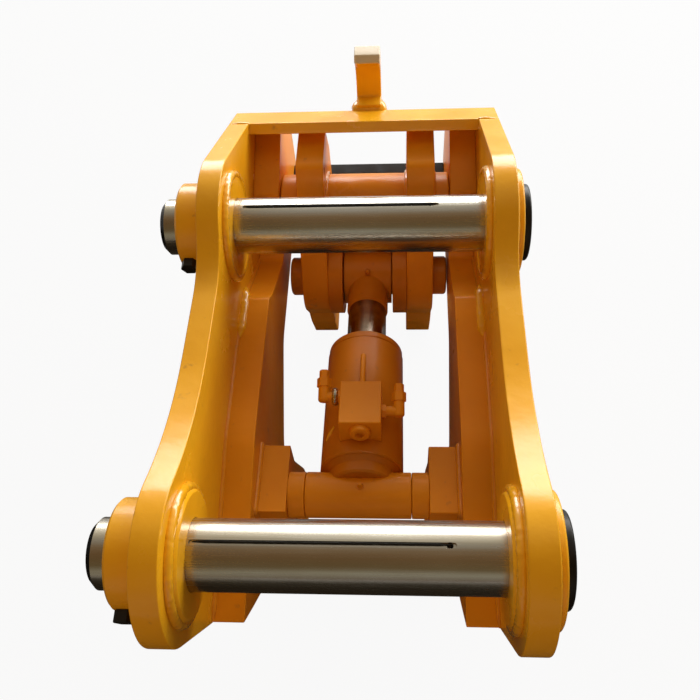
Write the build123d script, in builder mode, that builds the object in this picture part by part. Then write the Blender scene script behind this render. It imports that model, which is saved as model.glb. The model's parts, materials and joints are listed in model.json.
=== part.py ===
from build123d import *
import os
from math import acos, atan2, cos, degrees, hypot, radians, sin, sqrt, tan

# Quick coupler for a 20 to 25 tonne excavator, in millimetres.
# X runs along the pins, Y from the arm end to the rear and Z up.
# The origin is the middle of the arm pin, and side outlines are given as (Y, Z).

os.makedirs("parts", exist_ok=True)

# Clearances
weld_gap = 0.1
pin_gap = 0.1
running_gap = 0.05
face_gap = 0.3
swing_gap = 1.0

# Arm and link pins
pin_d = 80.0
pin_spacing = 486.0
pin_end_out = 68.0
pin_chamfer = 7.0
head_d = 107.0
head_t = 12.0
groove_w = 6.0
groove_depth = 2.5
grease_hole_d = 7.0
arm_groove = (-168.0, 117.0, 110.0)
link_groove = (-162.0, 112.0, 100.0)

# Widths across the coupler
arm_gap = 340.0
arm_ring_t = 11.0
link_ring_t = 6.5
ear_t = 31.4
side_plate_t = 42.0
collar_l = 40.0
outer_ring_t = 12.0
line_x = 3.0

# Round bosses on the ears
ear_boss_r = 99.0
link_boss_r = 100.0
boss_ring_r = 72.7
collar_r = 62.0
outer_ring_r = 75.0
keeper_d = 17.0
keeper_head_d = 24.0
keeper_head_h = 13.0
keeper_depth = 18.0
keeper_angle = 186.0
keeper_x = 26.0

# Side outline of the ears
saddle_r = 401.0
saddle_z = 36.0
saddle_flat_end = pin_spacing - 151.0
slope_angle = 26.0
deck_rear = (pin_spacing + 271.0, -22.0)
deck_length = 70.1
deck_t = 18.0
ear_front_corner = (-31.0, -173.0)
ear_foot_y = 14.0
ear_bottom_z = -236.0
ear_rear_low = (pin_spacing + 289.0, -120.0)
ear_arch_y = (262.0, pin_spacing + 70.0)
ear_arch_h = 32.0

# Jaws and the attachment pins that they hold
jaw_r = 41.0
front_jaw = (166.0, -338.0)
rear_jaw = (pin_spacing + 166.0, front_jaw[1])
lip_t = 46.0
floor_z = front_jaw[1] - jaw_r - lip_t

# Side outline of the lower side plates
plate_nose = (-31.0, -168.0)
plate_shoulder = (200.0, -105.0)
plate_crest = (pin_spacing - 54.0, -100.0)
notch_start = (pin_spacing - 31.0, -120.0)
notch_low = (pin_spacing + 99.0, -187.0)
notch_top = (pin_spacing + 143.0, -83.0)
tail_top = (pin_spacing + 349.0, -120.0)
tail_low = (pin_spacing + 349.0, -205.0)
plate_belly = (
    (pin_spacing + 304.0, -246.0),
    (pin_spacing + 114.0, -252.0),
    (pin_spacing - 26.0, -254.0),
    (pin_spacing - 96.0, -300.0),
    (pin_spacing - 167.0, -348.0),
)
jaw_heel_y = 262.0
lip_end_y = 112.0
lip_slope = 10.0
upper_lip = ((50.0, -297.0), (33.0, -264.0), (7.0, -226.0))

# Hook and its pivot
pivot = (pin_spacing + 169.0, -147.0)
pivot_pin_d = 80.0
hub_r = 60.0
hub_bush_t = 8.0
hub_bush_l = 70.0
hook_in = 66.0
hook_t = 44.0
hook_boss_r = 65.0
hook_boss_in = 42.0
hook_lobe_r = 60.0
rod_pin = (pin_spacing + 99.0, -240.0)
rod_pin_d = 66.0
rod_pin_reach = 134.0
web_t = 22.0
web_front_y = -8.0
web_rise = 14.0

# Side outline of the hook, as (Y, Z) from its pivot and then from its jaw
hook_shoulder = (-43.0, 79.0)
hook_top = ((-15.0, 117.0), (67.0, 117.0))
hook_back = ((97.0, 55.0), (95.0, -48.0), (51.0, -121.0))
hook_front = ((-96.0, 28.0), (-86.0, -14.0))
hook_neck_y = 52.0
hook_toe_y = -57.0
hook_tip_y = 62.0

# Retainers of the pivot pin
retainer_r = 52.0
retainer_t = 10.0
retainer_bolt_r = 12.0
retainer_bolt_l = 25.0

# Cylinder base
base = (150.0, -185.0)
base_pin_d = 40.0
base_tube_r = 30.0
base_tube_w = 146.0
base_bush_t = 4.0
spacer_w = 23.5
block_top = -155.0
block_front_y = 113.0
block_rear_y = 211.5
block_waist_z = -205.0

# Cylinder, measured along its axis from the base pin
barrel_r = 59.0
bore_r = 43.0
barrel_start = 33.0
barrel_end = 246.0
cap_start = 10.0
cap_end = 48.0
cap_r = 48.0
gland_flange = 13.0
gland_depth = 34.0
rod_r = 31.5
rod_end = 350.0
neck_r = 34.0
eye_r = 48.0
eye_w = 80.0
eye_bush_t = 5.0
open_pivot_gap = 3.4
piston_start = 98.0
piston_l = 34.0
piston_stub_l = 6.0
piston_stub_r = 18.0
seal_w = 8.0
seal_depth = 4.0

# Check valve block and its fittings
valve_start = 55.0
valve_l = 72.0
valve_w = 58.0
valve_h = 38.0
valve_seat_depth = 18.0
plug_r = 14.5
plug_l = 8.0
plug_socket_r = 6.5
plug_thread_r = 10.5
pipe_r = 4.0
pipe_l = 78.0
port_r = 7.0
port_l = 16.0
port_thread_r = 5.5
port_nut_r = 10.0
port_nut_t = 6.0
elbow_r = 8.0
elbow_l = 22.0
elbow_tilt = 20.0
port_height = 20.0
cap_nut_r = 10.5
cap_nut_l = 13.0
cap_top_r = 7.5
cap_top_l = 12.0
left_port_s = 112.0
right_port_s = 87.0

# Grease nipples
nipple_r = 4.0
nipple_h = 10.0
nipple_hex_r = 5.5
rod_nipple_angle = 122.0

# Deck, lifting hook and tie plate
lift_t = 40.0
lift_x = 8.0
lift_lip_h = 11.0
lift_throat = 21.0
lift_top_z = 79.0
lift_head_t = 40.0
lift_head_h = 10.0
lift_foot_z = -45.0
tie_y = pin_spacing + 314.0
tie_top = -191.0
tie_h = 55.0
tie_t = 25.0

# Derived planes and lengths
ear_in = arm_gap / 2 + arm_ring_t
ear_out = ear_in + ear_t
plate_in = ear_in - side_plate_t
pin_end = ear_out + pin_end_out
block_in = base_tube_w / 2 + swing_gap / 2 + spacer_w
slope = radians(slope_angle)
down_slope = (cos(slope), -sin(slope))
off_slope = (-sin(slope), -cos(slope))
arm = (0.0, 0.0)
link = (pin_spacing, 0.0)
sides = (("left", -1), ("right", 1))
ends = (("arm", arm, arm_ring_t, arm_groove), ("link", link, link_ring_t, link_groove))


def on_circle(centre, radius, angle):
    """Point on a circle in the side view, with its angle in degrees from +Y."""
    return (centre[0] + radius * cos(radians(angle)), centre[1] + radius * sin(radians(angle)))


def along(point, direction, distance):
    """Point moved by a distance along a direction of the side view."""
    return (point[0] + direction[0] * distance, point[1] + direction[1] * distance)


def shifted(centre, points):
    """Points of the side view, given from a centre."""
    return [(centre[0] + point[0], centre[1] + point[1]) for point in points]


def tangent_angle(centre, radius, point, turn):
    """Angle on a circle where the line from a point outside touches it."""
    reach = hypot(point[0] - centre[0], point[1] - centre[1])
    towards = degrees(atan2(point[1] - centre[1], point[0] - centre[0]))
    return towards + turn * degrees(acos(radius / reach))


def side_plane(x):
    """Plane of a side outline at a distance across the coupler."""
    return Plane.YZ.offset(x)


def round_corners(sketch, corners):
    """Rounds the outline's corner at each point by its radius."""
    for point, radius in corners:
        fillet(sketch.vertices().sort_by_distance(point)[0], radius)


# The cylinder's own frame: local X along its axis and local Y up from it
axis_length = hypot(rod_pin[0] - base[0], rod_pin[1] - base[1])
axis_angle = degrees(atan2(rod_pin[1] - base[1], rod_pin[0] - base[0]))
axis_plane = Plane(
    origin=(line_x, base[0], base[1]),
    x_dir=(0, cos(radians(axis_angle)), sin(radians(axis_angle))),
    z_dir=(1, 0, 0),
)
axis_line = Axis(axis_plane.origin, axis_plane.x_dir)


def across_axis(distance):
    """Plane square to the cylinder's axis at a distance from the base pin."""
    start = axis_plane.from_local_coords(Vector(distance, 0, 0))
    return Plane(origin=start, x_dir=(-1, 0, 0), z_dir=axis_plane.x_dir)


# Ears: two bosses, a saddle between them and a slope down to the rear deck
saddle_y = sqrt((saddle_r + ear_boss_r) ** 2 - (saddle_z + saddle_r) ** 2)
near_turn = degrees(atan2(saddle_z + saddle_r, saddle_y))
far_run = pin_spacing - saddle_flat_end
far_r = (far_run ** 2 + saddle_z ** 2 - link_boss_r ** 2) / (2 * (link_boss_r - saddle_z))
far_turn = 180 - degrees(atan2(saddle_z + far_r, far_run))
slope_turn = 90 - slope_angle
slope_start = on_circle(link, link_boss_r, slope_turn)
slope_run = (deck_rear[0] - slope_start[0]) / cos(slope)
deck_back = along(slope_start, down_slope, slope_run)
deck_front = along(deck_back, down_slope, -deck_length)
front_turn = tangent_angle(arm, ear_boss_r, ear_front_corner, -1) + 360
ear_foot = (ear_foot_y, ear_bottom_z)
arch_start = (ear_arch_y[0], ear_bottom_z)
arch_end = (ear_arch_y[1], ear_bottom_z)
arch_top = (sum(ear_arch_y) / 2, ear_bottom_z + ear_arch_h)
mid_saddle = degrees(atan2(-(saddle_z + saddle_r), -saddle_y)) / 2 - 45

for side, sign in sides:
    with BuildPart() as ear:
        with BuildSketch(side_plane(sign * ear_in)) as outline:
            with BuildLine():
                saddle_start = on_circle(arm, ear_boss_r, near_turn)
                saddle_end = on_circle(link, link_boss_r, far_turn)
                ThreePointArc(
                    on_circle(arm, ear_boss_r, front_turn),
                    on_circle(arm, ear_boss_r, (front_turn + near_turn) / 2),
                    saddle_start,
                )
                ThreePointArc(
                    saddle_start,
                    on_circle((saddle_y, saddle_z + saddle_r), saddle_r, mid_saddle),
                    (saddle_y, saddle_z),
                )
                Line((saddle_y, saddle_z), (saddle_flat_end, saddle_z))
                ThreePointArc(
                    (saddle_flat_end, saddle_z),
                    on_circle((saddle_flat_end, saddle_z + far_r), far_r, (far_turn - 180 - 90) / 2),
                    saddle_end,
                )
                ThreePointArc(
                    saddle_end,
                    on_circle(link, link_boss_r, (far_turn + slope_turn) / 2),
                    slope_start,
                )
                Polyline(
                    slope_start,
                    deck_front,
                    along(deck_front, off_slope, deck_t),
                    along(deck_back, off_slope, deck_t),
                    ear_rear_low,
                    (ear_rear_low[0], ear_bottom_z),
                    arch_end,
                )
                ThreePointArc(arch_end, arch_top, arch_start)
                Polyline(
                    arch_start,
                    ear_foot,
                    ear_front_corner,
                    on_circle(arm, ear_boss_r, front_turn),
                )
            make_face()
            round_corners(
                outline,
                (
                    ((ear_rear_low[0], ear_bottom_z), 70),
                    (ear_foot, 15),
                    (ear_front_corner, 25),
                ),
            )
            with Locations(arm, link):
                Circle(pin_d / 2 + pin_gap, mode=Mode.SUBTRACT)
            with Locations(pivot):
                Circle(pivot_pin_d / 2 + pin_gap, mode=Mode.SUBTRACT)
            with Locations(base):
                Circle(base_pin_d / 2 + pin_gap, mode=Mode.SUBTRACT)
        extrude(amount=sign * ear_t)
    ear.part.label = f"{side}_ear"
    export_step(ear.part, f"parts/{side}_ear.step")

# Lower side plates, with the fixed jaw that hooks under the front attachment pin
for side, sign in sides:
    with BuildPart() as side_plate:
        with BuildSketch(side_plane(sign * plate_in)) as outline:
            with BuildLine():
                jaw_top = (front_jaw[0], front_jaw[1] + jaw_r)
                jaw_low = (front_jaw[0], front_jaw[1] - jaw_r)
                deck_under = along(deck_back, off_slope, deck_t + weld_gap)
                Polyline(
                    jaw_top,
                    (upper_lip[0][0], jaw_top[1]),
                    *upper_lip[1:],
                    plate_nose,
                    plate_shoulder,
                    plate_crest,
                    notch_start,
                    notch_low,
                    notch_top,
                    along(deck_under, down_slope, -6),
                    deck_under,
                    tail_top,
                    tail_low,
                    *plate_belly,
                    (jaw_heel_y, floor_z),
                    (lip_end_y + lip_slope, floor_z),
                    (lip_end_y, jaw_low[1]),
                    jaw_low,
                )
                ThreePointArc(jaw_low, (front_jaw[0] + jaw_r, front_jaw[1]), jaw_top)
            make_face()
            round_corners(
                outline,
                (
                    (plate_shoulder, 120),
                    (plate_crest, 12),
                    (notch_low, 22),
                    (notch_top, 15),
                    (tail_top, 30),
                    (tail_low, 40),
                    (plate_belly[0], 40),
                    (plate_belly[2], 60),
                    (plate_belly[4], 60),
                    ((jaw_heel_y, floor_z), 30),
                    ((lip_end_y + lip_slope, floor_z), 16),
                    ((lip_end_y, jaw_low[1]), 8),
                    ((upper_lip[0][0], jaw_top[1]), 6),
                ),
            )
            with Locations(pivot):
                Circle(pivot_pin_d / 2 + pin_gap, mode=Mode.SUBTRACT)
            with Locations(base):
                Circle(base_pin_d / 2 + pin_gap, mode=Mode.SUBTRACT)
        extrude(amount=sign * (side_plate_t - weld_gap))
    side_plate.part.label = f"{side}_side_plate"
    export_step(side_plate.part, f"parts/{side}_side_plate.step")


def ring(name, centre, start, length, outer, inner, edge):
    """Round collar across the coupler, with its far outer edge chamfered."""
    with BuildPart() as collar:
        with BuildSketch(side_plane(start)):
            with Locations(centre):
                Circle(outer)
                Circle(inner, mode=Mode.SUBTRACT)
        extrude(amount=length)
        if edge > 0:
            far = Axis.X if length > 0 else -Axis.X
            rim = collar.faces().sort_by(far)[-1].edges().sort_by(SortBy.LENGTH)[-1]
            chamfer(rim, edge)
    collar.part.label = name
    return collar.part


pin_hole_r = pin_d / 2 + pin_gap
for end, centre, ring_t, groove in ends:
    for side, sign in sides:
        boss = ring(f"{side}_{end}_boss", centre, sign * (ear_in - weld_gap),
                    -sign * (ring_t - weld_gap), boss_ring_r, pin_hole_r, ring_t / 3)
        export_step(boss, f"parts/{side}_{end}_boss.step")
    outer_ring = ring(f"{end}_outer_ring", centre, ear_out + weld_gap,
                      outer_ring_t - weld_gap, outer_ring_r, pin_hole_r, 2)
    export_step(outer_ring, f"parts/{end}_outer_ring.step")

# Locking collars, each with a keeper bolt that goes into the pin
for end, centre, ring_t, groove in ends:
    keeper_seat = on_circle(centre, collar_r - 1, keeper_angle)
    keeper_out = (0, cos(radians(keeper_angle)), sin(radians(keeper_angle)))
    keeper_plane = Plane(origin=(-ear_out - keeper_x, *keeper_seat), x_dir=(1, 0, 0), z_dir=keeper_out)

    with BuildPart() as collar:
        with BuildSketch(side_plane(-ear_out - weld_gap)):
            with Locations(centre):
                Circle(collar_r)
                Circle(pin_hole_r, mode=Mode.SUBTRACT)
        extrude(amount=-(collar_l - weld_gap))
        rim = collar.faces().sort_by(Axis.X)[0].edges().sort_by(SortBy.LENGTH)[-1]
        chamfer(rim, 3)
        with BuildSketch(keeper_plane):
            Circle(keeper_head_d / 2 + 2)
        extrude(amount=20, mode=Mode.SUBTRACT)
        with BuildSketch(keeper_plane):
            Circle(keeper_d / 2 + weld_gap)
        extrude(amount=-collar_r, mode=Mode.SUBTRACT)
    collar.part.label = f"{end}_collar"
    export_step(collar.part, f"parts/{end}_collar.step")

    with BuildPart() as keeper:
        with BuildSketch(keeper_plane.offset(weld_gap)):
            RegularPolygon(keeper_head_d / 2, 6)
        extrude(amount=keeper_head_h)
        chamfer(keeper.edges().group_by(Axis(keeper_plane.origin, keeper_out))[-1], 1)
        with BuildSketch(keeper_plane.offset(weld_gap)):
            Circle(keeper_d / 2)
        extrude(amount=-(collar_r - pin_d / 2 + keeper_depth))
    keeper.part.label = f"{end}_keeper_bolt"
    export_step(keeper.part, f"parts/{end}_keeper_bolt.step")

    with BuildPart() as pin:
        with BuildSketch(side_plane(-pin_end)):
            with Locations(centre):
                Circle(pin_d / 2)
        extrude(amount=pin_end + ear_out + outer_ring_t)
        chamfer(pin.faces().sort_by(Axis.X)[0].edges(), pin_chamfer)
        groove_start, groove_end, grease_hole_x = groove
        with BuildSketch(Plane.XY.offset(pin_d / 2 - groove_depth)):
            with Locations(((groove_start + groove_end) / 2, centre[0])):
                SlotOverall(groove_end - groove_start, groove_w)
        extrude(amount=groove_depth + 1, mode=Mode.SUBTRACT)
        with BuildSketch(Plane.XY.offset(pin_d / 2)):
            with Locations((grease_hole_x, centre[0])):
                Circle(grease_hole_d / 2)
        extrude(amount=-pin_d / 2, mode=Mode.SUBTRACT)
        with BuildSketch(keeper_plane):
            Circle(keeper_d / 2 + weld_gap)
        extrude(amount=-(collar_r - pin_d / 2 + keeper_depth + 1), mode=Mode.SUBTRACT)
    pin.part.label = f"{end}_pin"
    export_step(pin.part, f"parts/{end}_pin.step")

    with BuildPart() as head:
        with BuildSketch(side_plane(ear_out + outer_ring_t + weld_gap)):
            with Locations(centre):
                Circle(head_d / 2)
        extrude(amount=head_t)
        chamfer(head.faces().sort_by(Axis.X)[-1].edges(), 2)
    head.part.label = f"{end}_pin_head"
    export_step(head.part, f"parts/{end}_pin_head.step")

# Rear deck: a flat plate across both ears, lying in their slope
with BuildPart() as deck:
    with BuildSketch(side_plane(-ear_out)):
        with BuildLine():
            Polyline(
                deck_front,
                deck_back,
                along(deck_back, off_slope, deck_t - weld_gap),
                along(deck_front, off_slope, deck_t - weld_gap),
                close=True,
            )
        make_face()
    extrude(amount=2 * ear_out)
deck.part.label = "rear_deck"
export_step(deck.part, "parts/rear_deck.step")

# Lifting hook welded behind the deck, its throat open to the front
with BuildPart() as lifting_hook:
    with BuildSketch(side_plane(lift_x - lift_t / 2)) as outline:
        with BuildLine():
            lip_top = (deck_rear[0] + weld_gap, deck_rear[1] + lift_lip_h)
            throat_low = (lip_top[0] + lift_throat, lip_top[1])
            head_front = (deck_rear[0], lift_top_z - lift_head_h)
            head_back = deck_rear[0] + lift_head_t
            back_low = along(deck_back, off_slope, deck_t)
            Polyline(
                throat_low,
                lip_top,
                (lip_top[0], deck_rear[1]),
                (back_low[0] + weld_gap, back_low[1]),
                (back_low[0] + weld_gap, lift_foot_z),
                (throat_low[0] + 8, lift_foot_z),
                (head_back + 4, deck_rear[1]),
                (head_back, lift_top_z - 2 * lift_head_h),
                (head_back - lift_head_h, lift_top_z),
                (deck_rear[0] + 7, lift_top_z),
                head_front,
            )
            ThreePointArc(
                head_front,
                ((head_front[0] + throat_low[0]) / 2 + 13, (head_front[1] + throat_low[1]) / 2 + 4),
                throat_low,
            )
        make_face()
        round_corners(
            outline,
            (
                ((head_back + 4, deck_rear[1]), 30),
                ((throat_low[0] + 8, lift_foot_z), 10),
            ),
        )
    extrude(amount=lift_t)
lifting_hook.part.label = "lifting_hook"
export_step(lifting_hook.part, "parts/lifting_hook.step")

# Tie plate between the side plates, behind the hook
with BuildPart() as tie_plate:
    with BuildSketch(Plane.XY.offset(tie_top)):
        with Locations((0, tie_y)):
            Rectangle(2 * (plate_in - weld_gap), tie_t)
    extrude(amount=-tie_h)
tie_plate.part.label = "tie_plate"
export_step(tie_plate.part, "parts/tie_plate.step")

# Jaw blocks: they carry the cylinder's base pin and widen the fixed jaw inwards
cheek_r = jaw_r + lip_t
block_lip_y = lip_end_y + 2
cheek_turn = tangent_angle(front_jaw, cheek_r, (block_rear_y, block_waist_z), -1)
for side, sign in sides:
    with BuildPart() as block:
        with BuildSketch(side_plane(sign * (plate_in - weld_gap))) as outline:
            with BuildLine():
                cheek_start = on_circle(front_jaw, cheek_r, cheek_turn)
                cheek_end = (front_jaw[0], front_jaw[1] - cheek_r)
                Polyline(
                    jaw_top,
                    (block_front_y, jaw_top[1]),
                    (block_front_y, block_top),
                    (block_rear_y, block_top),
                    (block_rear_y, block_waist_z),
                    cheek_start,
                )
                ThreePointArc(cheek_start, on_circle(front_jaw, cheek_r, (cheek_turn - 90) / 2), cheek_end)
                Polyline(cheek_end, (block_lip_y + lip_slope, cheek_end[1]), (block_lip_y, jaw_low[1]), jaw_low)
                ThreePointArc(jaw_low, (front_jaw[0] + jaw_r, front_jaw[1]), jaw_top)
            make_face()
            round_corners(
                outline,
                (
                    ((block_rear_y, block_waist_z), 15),
                    ((block_front_y, jaw_top[1]), 8),
                    ((block_lip_y + lip_slope, cheek_end[1]), 14),
                    ((block_lip_y, jaw_low[1]), 8),
                ),
            )
            with Locations(base):
                Circle(base_pin_d / 2 + pin_gap, mode=Mode.SUBTRACT)
        extrude(amount=-sign * (plate_in - weld_gap - block_in))
    block.part.label = f"{side}_jaw_block"
    export_step(block.part, f"parts/{side}_jaw_block.step")

# Cylinder base pin and the spacers beside the cylinder's base tube
with BuildPart() as base_pin:
    with BuildSketch(side_plane(-ear_out)):
        with Locations(base):
            Circle(base_pin_d / 2)
    extrude(amount=2 * ear_out)
    chamfer(base_pin.edges().filter_by(GeomType.CIRCLE), 2)
base_pin.part.label = "base_pin"
export_step(base_pin.part, "parts/base_pin.step")

for side, sign in sides:
    spacer = ring(f"{side}_base_spacer", base, sign * (block_in - face_gap), -sign * (spacer_w - face_gap),
                  base_tube_r, base_pin_d / 2 + pin_gap, 1)
    export_step(spacer, f"parts/{side}_base_spacer.step")

# Hook pivot pin with a bolted retainer on each ear
with BuildPart() as pivot_pin:
    with BuildSketch(side_plane(-ear_out)):
        with Locations(pivot):
            Circle(pivot_pin_d / 2)
    extrude(amount=2 * ear_out)
    with BuildSketch(side_plane(-ear_out), side_plane(ear_out)):
        with Locations(pivot):
            Circle(retainer_bolt_r / 2 + weld_gap)
    extrude(amount=retainer_bolt_l + 5, both=True, mode=Mode.SUBTRACT)
pivot_pin.part.label = "pivot_pin"
export_step(pivot_pin.part, "parts/pivot_pin.step")

for side, sign in sides:
    retainer = ring(f"{side}_pivot_retainer", pivot, sign * (ear_out + weld_gap), sign * retainer_t,
                    retainer_r, retainer_bolt_r / 2 + weld_gap, 2)
    export_step(retainer, f"parts/{side}_pivot_retainer.step")

    with BuildPart() as bolt:
        with BuildSketch(side_plane(sign * (ear_out + retainer_t + 2 * weld_gap))):
            with Locations(pivot):
                RegularPolygon(retainer_bolt_r, 6)
        extrude(amount=sign * retainer_bolt_r * 0.8)
        with BuildSketch(side_plane(sign * (ear_out + retainer_t + 2 * weld_gap))):
            with Locations(pivot):
                Circle(retainer_bolt_r / 2)
        extrude(amount=-sign * (retainer_t + retainer_bolt_l))
    bolt.part.label = f"{side}_pivot_bolt"
    export_step(bolt.part, f"parts/{side}_pivot_bolt.step")

# Hook: a hub tube with a bush at each end, and two plates that end in the moving jaw
with BuildPart() as hub:
    with BuildSketch(side_plane(-(plate_in - swing_gap))):
        with Locations(pivot):
            Circle(hub_r)
            Circle(pivot_pin_d / 2 + hub_bush_t, mode=Mode.SUBTRACT)
    extrude(amount=2 * (plate_in - swing_gap))
    chamfer(hub.edges().filter_by(GeomType.CIRCLE).group_by(Axis.X)[0], 2)
    chamfer(hub.edges().filter_by(GeomType.CIRCLE).group_by(Axis.X)[-1], 2)
hub.part.label = "hook_hub"
export_step(hub.part, "parts/hook_hub.step")

for side, sign in sides:
    bush = ring(f"{side}_hub_bush", pivot, sign * (plate_in - swing_gap), -sign * hub_bush_l,
                pivot_pin_d / 2 + hub_bush_t - running_gap, pivot_pin_d / 2 + running_gap, 0)
    export_step(bush, f"parts/{side}_hub_bush.step")

web_front = rear_jaw[0] + web_front_y
rear_top = (rear_jaw[0], rear_jaw[1] + jaw_r)
rear_low = (rear_jaw[0], rear_jaw[1] - jaw_r)
neck = (rear_jaw[0] + hook_neck_y, rear_top[1])
toe = (rear_jaw[0] + hook_toe_y, floor_z)
tip = (rear_jaw[0] + hook_tip_y, rear_low[1])
tip_low = (tip[0] - lip_slope, floor_z)
shoulder, top_front, top_rear, back_high, back_low, throat = shifted(pivot, (hook_shoulder, *hook_top, *hook_back))
front_high, front_low = shifted(rear_jaw, hook_front)
lobe_high = tangent_angle(rod_pin, hook_lobe_r, shoulder, 1)
lobe_low = tangent_angle(rod_pin, hook_lobe_r, front_high, -1) + 360
for side, sign in sides:
    with BuildPart() as hook_plate:
        with BuildSketch(side_plane(line_x + sign * hook_in)) as outline:
            with BuildLine():
                lobe_start = on_circle(rod_pin, hook_lobe_r, lobe_low)
                lobe_end = on_circle(rod_pin, hook_lobe_r, lobe_high)
                Polyline(rear_top, neck, throat, back_low, back_high, top_rear, top_front, shoulder, lobe_end)
                ThreePointArc(lobe_end, on_circle(rod_pin, hook_lobe_r, (lobe_high + lobe_low) / 2), lobe_start)
                Polyline(lobe_start, front_high, front_low, toe, tip_low, tip, rear_low)
                ThreePointArc(rear_low, (rear_jaw[0] - jaw_r, rear_jaw[1]), rear_top)
            make_face()
            round_corners(
                outline,
                (
                    (neck, 8),
                    (throat, 25),
                    (back_low, 40),
                    (back_high, 30),
                    (top_rear, 15),
                    (top_front, 15),
                    (front_high, 30),
                    (front_low, 40),
                    (toe, 18),
                    (tip_low, 10),
                    (tip, 8),
                ),
            )
            with Locations(pivot):
                Circle(hub_r + weld_gap, mode=Mode.SUBTRACT)
            with Locations(rod_pin):
                Circle(rod_pin_d / 2 + pin_gap, mode=Mode.SUBTRACT)
        extrude(amount=sign * hook_t)
    hook_plate.part.label = f"{side}_hook_plate"
    export_step(hook_plate.part, f"parts/{side}_hook_plate.step")

    with BuildPart() as rod_boss:
        with BuildSketch(side_plane(line_x + sign * hook_boss_in)):
            with Locations(rod_pin):
                Circle(hook_boss_r)
                Circle(rod_pin_d / 2 + pin_gap, mode=Mode.SUBTRACT)
            with Locations(pivot):
                Circle(hub_r + weld_gap, mode=Mode.SUBTRACT)
            with Locations((web_front - weld_gap, rod_pin[1])):
                Rectangle(web_t, 2 * hook_boss_r, align=(Align.MIN, Align.CENTER), mode=Mode.SUBTRACT)
        extrude(amount=sign * (hook_in - weld_gap - hook_boss_in))
    rod_boss.part.label = f"{side}_rod_boss"
    export_step(rod_boss.part, f"parts/{side}_rod_boss.step")

with BuildPart() as rod_pin_part:
    with BuildSketch(side_plane(line_x - rod_pin_reach)):
        with Locations(rod_pin):
            Circle(rod_pin_d / 2)
    extrude(amount=2 * rod_pin_reach)
    chamfer(rod_pin_part.edges().filter_by(GeomType.CIRCLE), 3)
rod_pin_part.part.label = "rod_pin"
export_step(rod_pin_part.part, "parts/rod_pin.step")

# Web between the hook plates, under the hub
with BuildPart() as web:
    with BuildSketch(side_plane(line_x - hook_in + weld_gap)) as outline:
        with BuildLine():
            web_top = pivot[1] - sqrt(hub_r ** 2 - (pivot[0] - web_front) ** 2) - weld_gap
            Polyline(
                (web_front, web_top + 1),
                (web_front, rear_top[1] + web_rise),
                (web_front + web_t, rear_top[1] + web_rise),
                (web_front + web_t, web_top + 1),
                close=True,
            )
        make_face()
        with Locations(pivot):
            Circle(hub_r + weld_gap, mode=Mode.SUBTRACT)
    extrude(amount=2 * (hook_in - weld_gap))
web.part.label = "hook_web"
export_step(web.part, "parts/hook_web.step")

# Cylinder base: a cross tube with its bush, and the end cap of the barrel
tube_bore_r = base_pin_d / 2 + base_bush_t
with BuildPart() as base_tube:
    with BuildSketch(side_plane(-base_tube_w / 2)):
        with Locations(base):
            Circle(base_tube_r)
            Circle(tube_bore_r + running_gap, mode=Mode.SUBTRACT)
    extrude(amount=base_tube_w)
    chamfer(base_tube.edges().filter_by(GeomType.CIRCLE).group_by(Axis.X)[0].sort_by(SortBy.LENGTH)[-1], 1)
    chamfer(base_tube.edges().filter_by(GeomType.CIRCLE).group_by(Axis.X)[-1].sort_by(SortBy.LENGTH)[-1], 1)
base_tube.part.label = "cylinder_base_tube"
export_step(base_tube.part, "parts/cylinder_base_tube.step")

base_bush = ring("cylinder_base_bush", base, -base_tube_w / 2, base_tube_w, tube_bore_r,
                 base_pin_d / 2 + running_gap, 0)
export_step(base_bush, "parts/cylinder_base_bush.step")


def turned(name, profile, cut=None):
    """Part turned about the cylinder's axis from (distance, radius) points."""
    with BuildPart() as piece:
        with BuildSketch(axis_plane):
            with BuildLine():
                Polyline(*profile, close=True)
            make_face()
        revolve(axis=axis_line)
        if cut:
            add(cut, mode=Mode.SUBTRACT)
    piece.part.label = name
    export_step(piece.part, f"parts/{name}.step")


with BuildPart() as tube_space:
    with BuildSketch(side_plane(line_x - barrel_r - 1)):
        with Locations(base):
            Circle(base_tube_r + weld_gap)
    extrude(amount=2 * barrel_r + 2)

turned(
    "cylinder_end_cap",
    ((cap_start, 0), (cap_start, cap_r - 3), (cap_start + 3, cap_r), (barrel_start - 6, cap_r),
     (barrel_start - weld_gap, barrel_r - 3), (barrel_start - weld_gap, bore_r - weld_gap),
     (cap_end, bore_r - weld_gap), (cap_end, 0)),
    tube_space.part,
)

gland_start = barrel_end - gland_depth
thread_r = bore_r + 5
turned(
    "cylinder_barrel",
    ((barrel_start, bore_r), (barrel_start, barrel_r - 2), (barrel_start + 2, barrel_r),
     (barrel_end - 2, barrel_r), (barrel_end, barrel_r - 2), (barrel_end, thread_r),
     (gland_start, thread_r), (gland_start, bore_r)),
)

gland_end = barrel_end + gland_flange
wiper_start = gland_end - seal_w
turned(
    "cylinder_gland",
    ((gland_start + weld_gap, rod_r + running_gap), (gland_start + weld_gap, thread_r - weld_gap),
     (barrel_end + weld_gap, thread_r - weld_gap), (barrel_end + weld_gap, barrel_r - 1),
     (gland_end - 3, barrel_r - 1), (gland_end, barrel_r - 4),
     (gland_end, rod_r + seal_depth), (wiper_start, rod_r + seal_depth),
     (wiper_start, rod_r + running_gap)),
)
turned(
    "rod_wiper",
    ((wiper_start + weld_gap, rod_r + running_gap), (wiper_start + weld_gap, rod_r + seal_depth - weld_gap),
     (gland_end + 3, rod_r + seal_depth - weld_gap), (gland_end + 3, rod_r + running_gap)),
)

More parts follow.
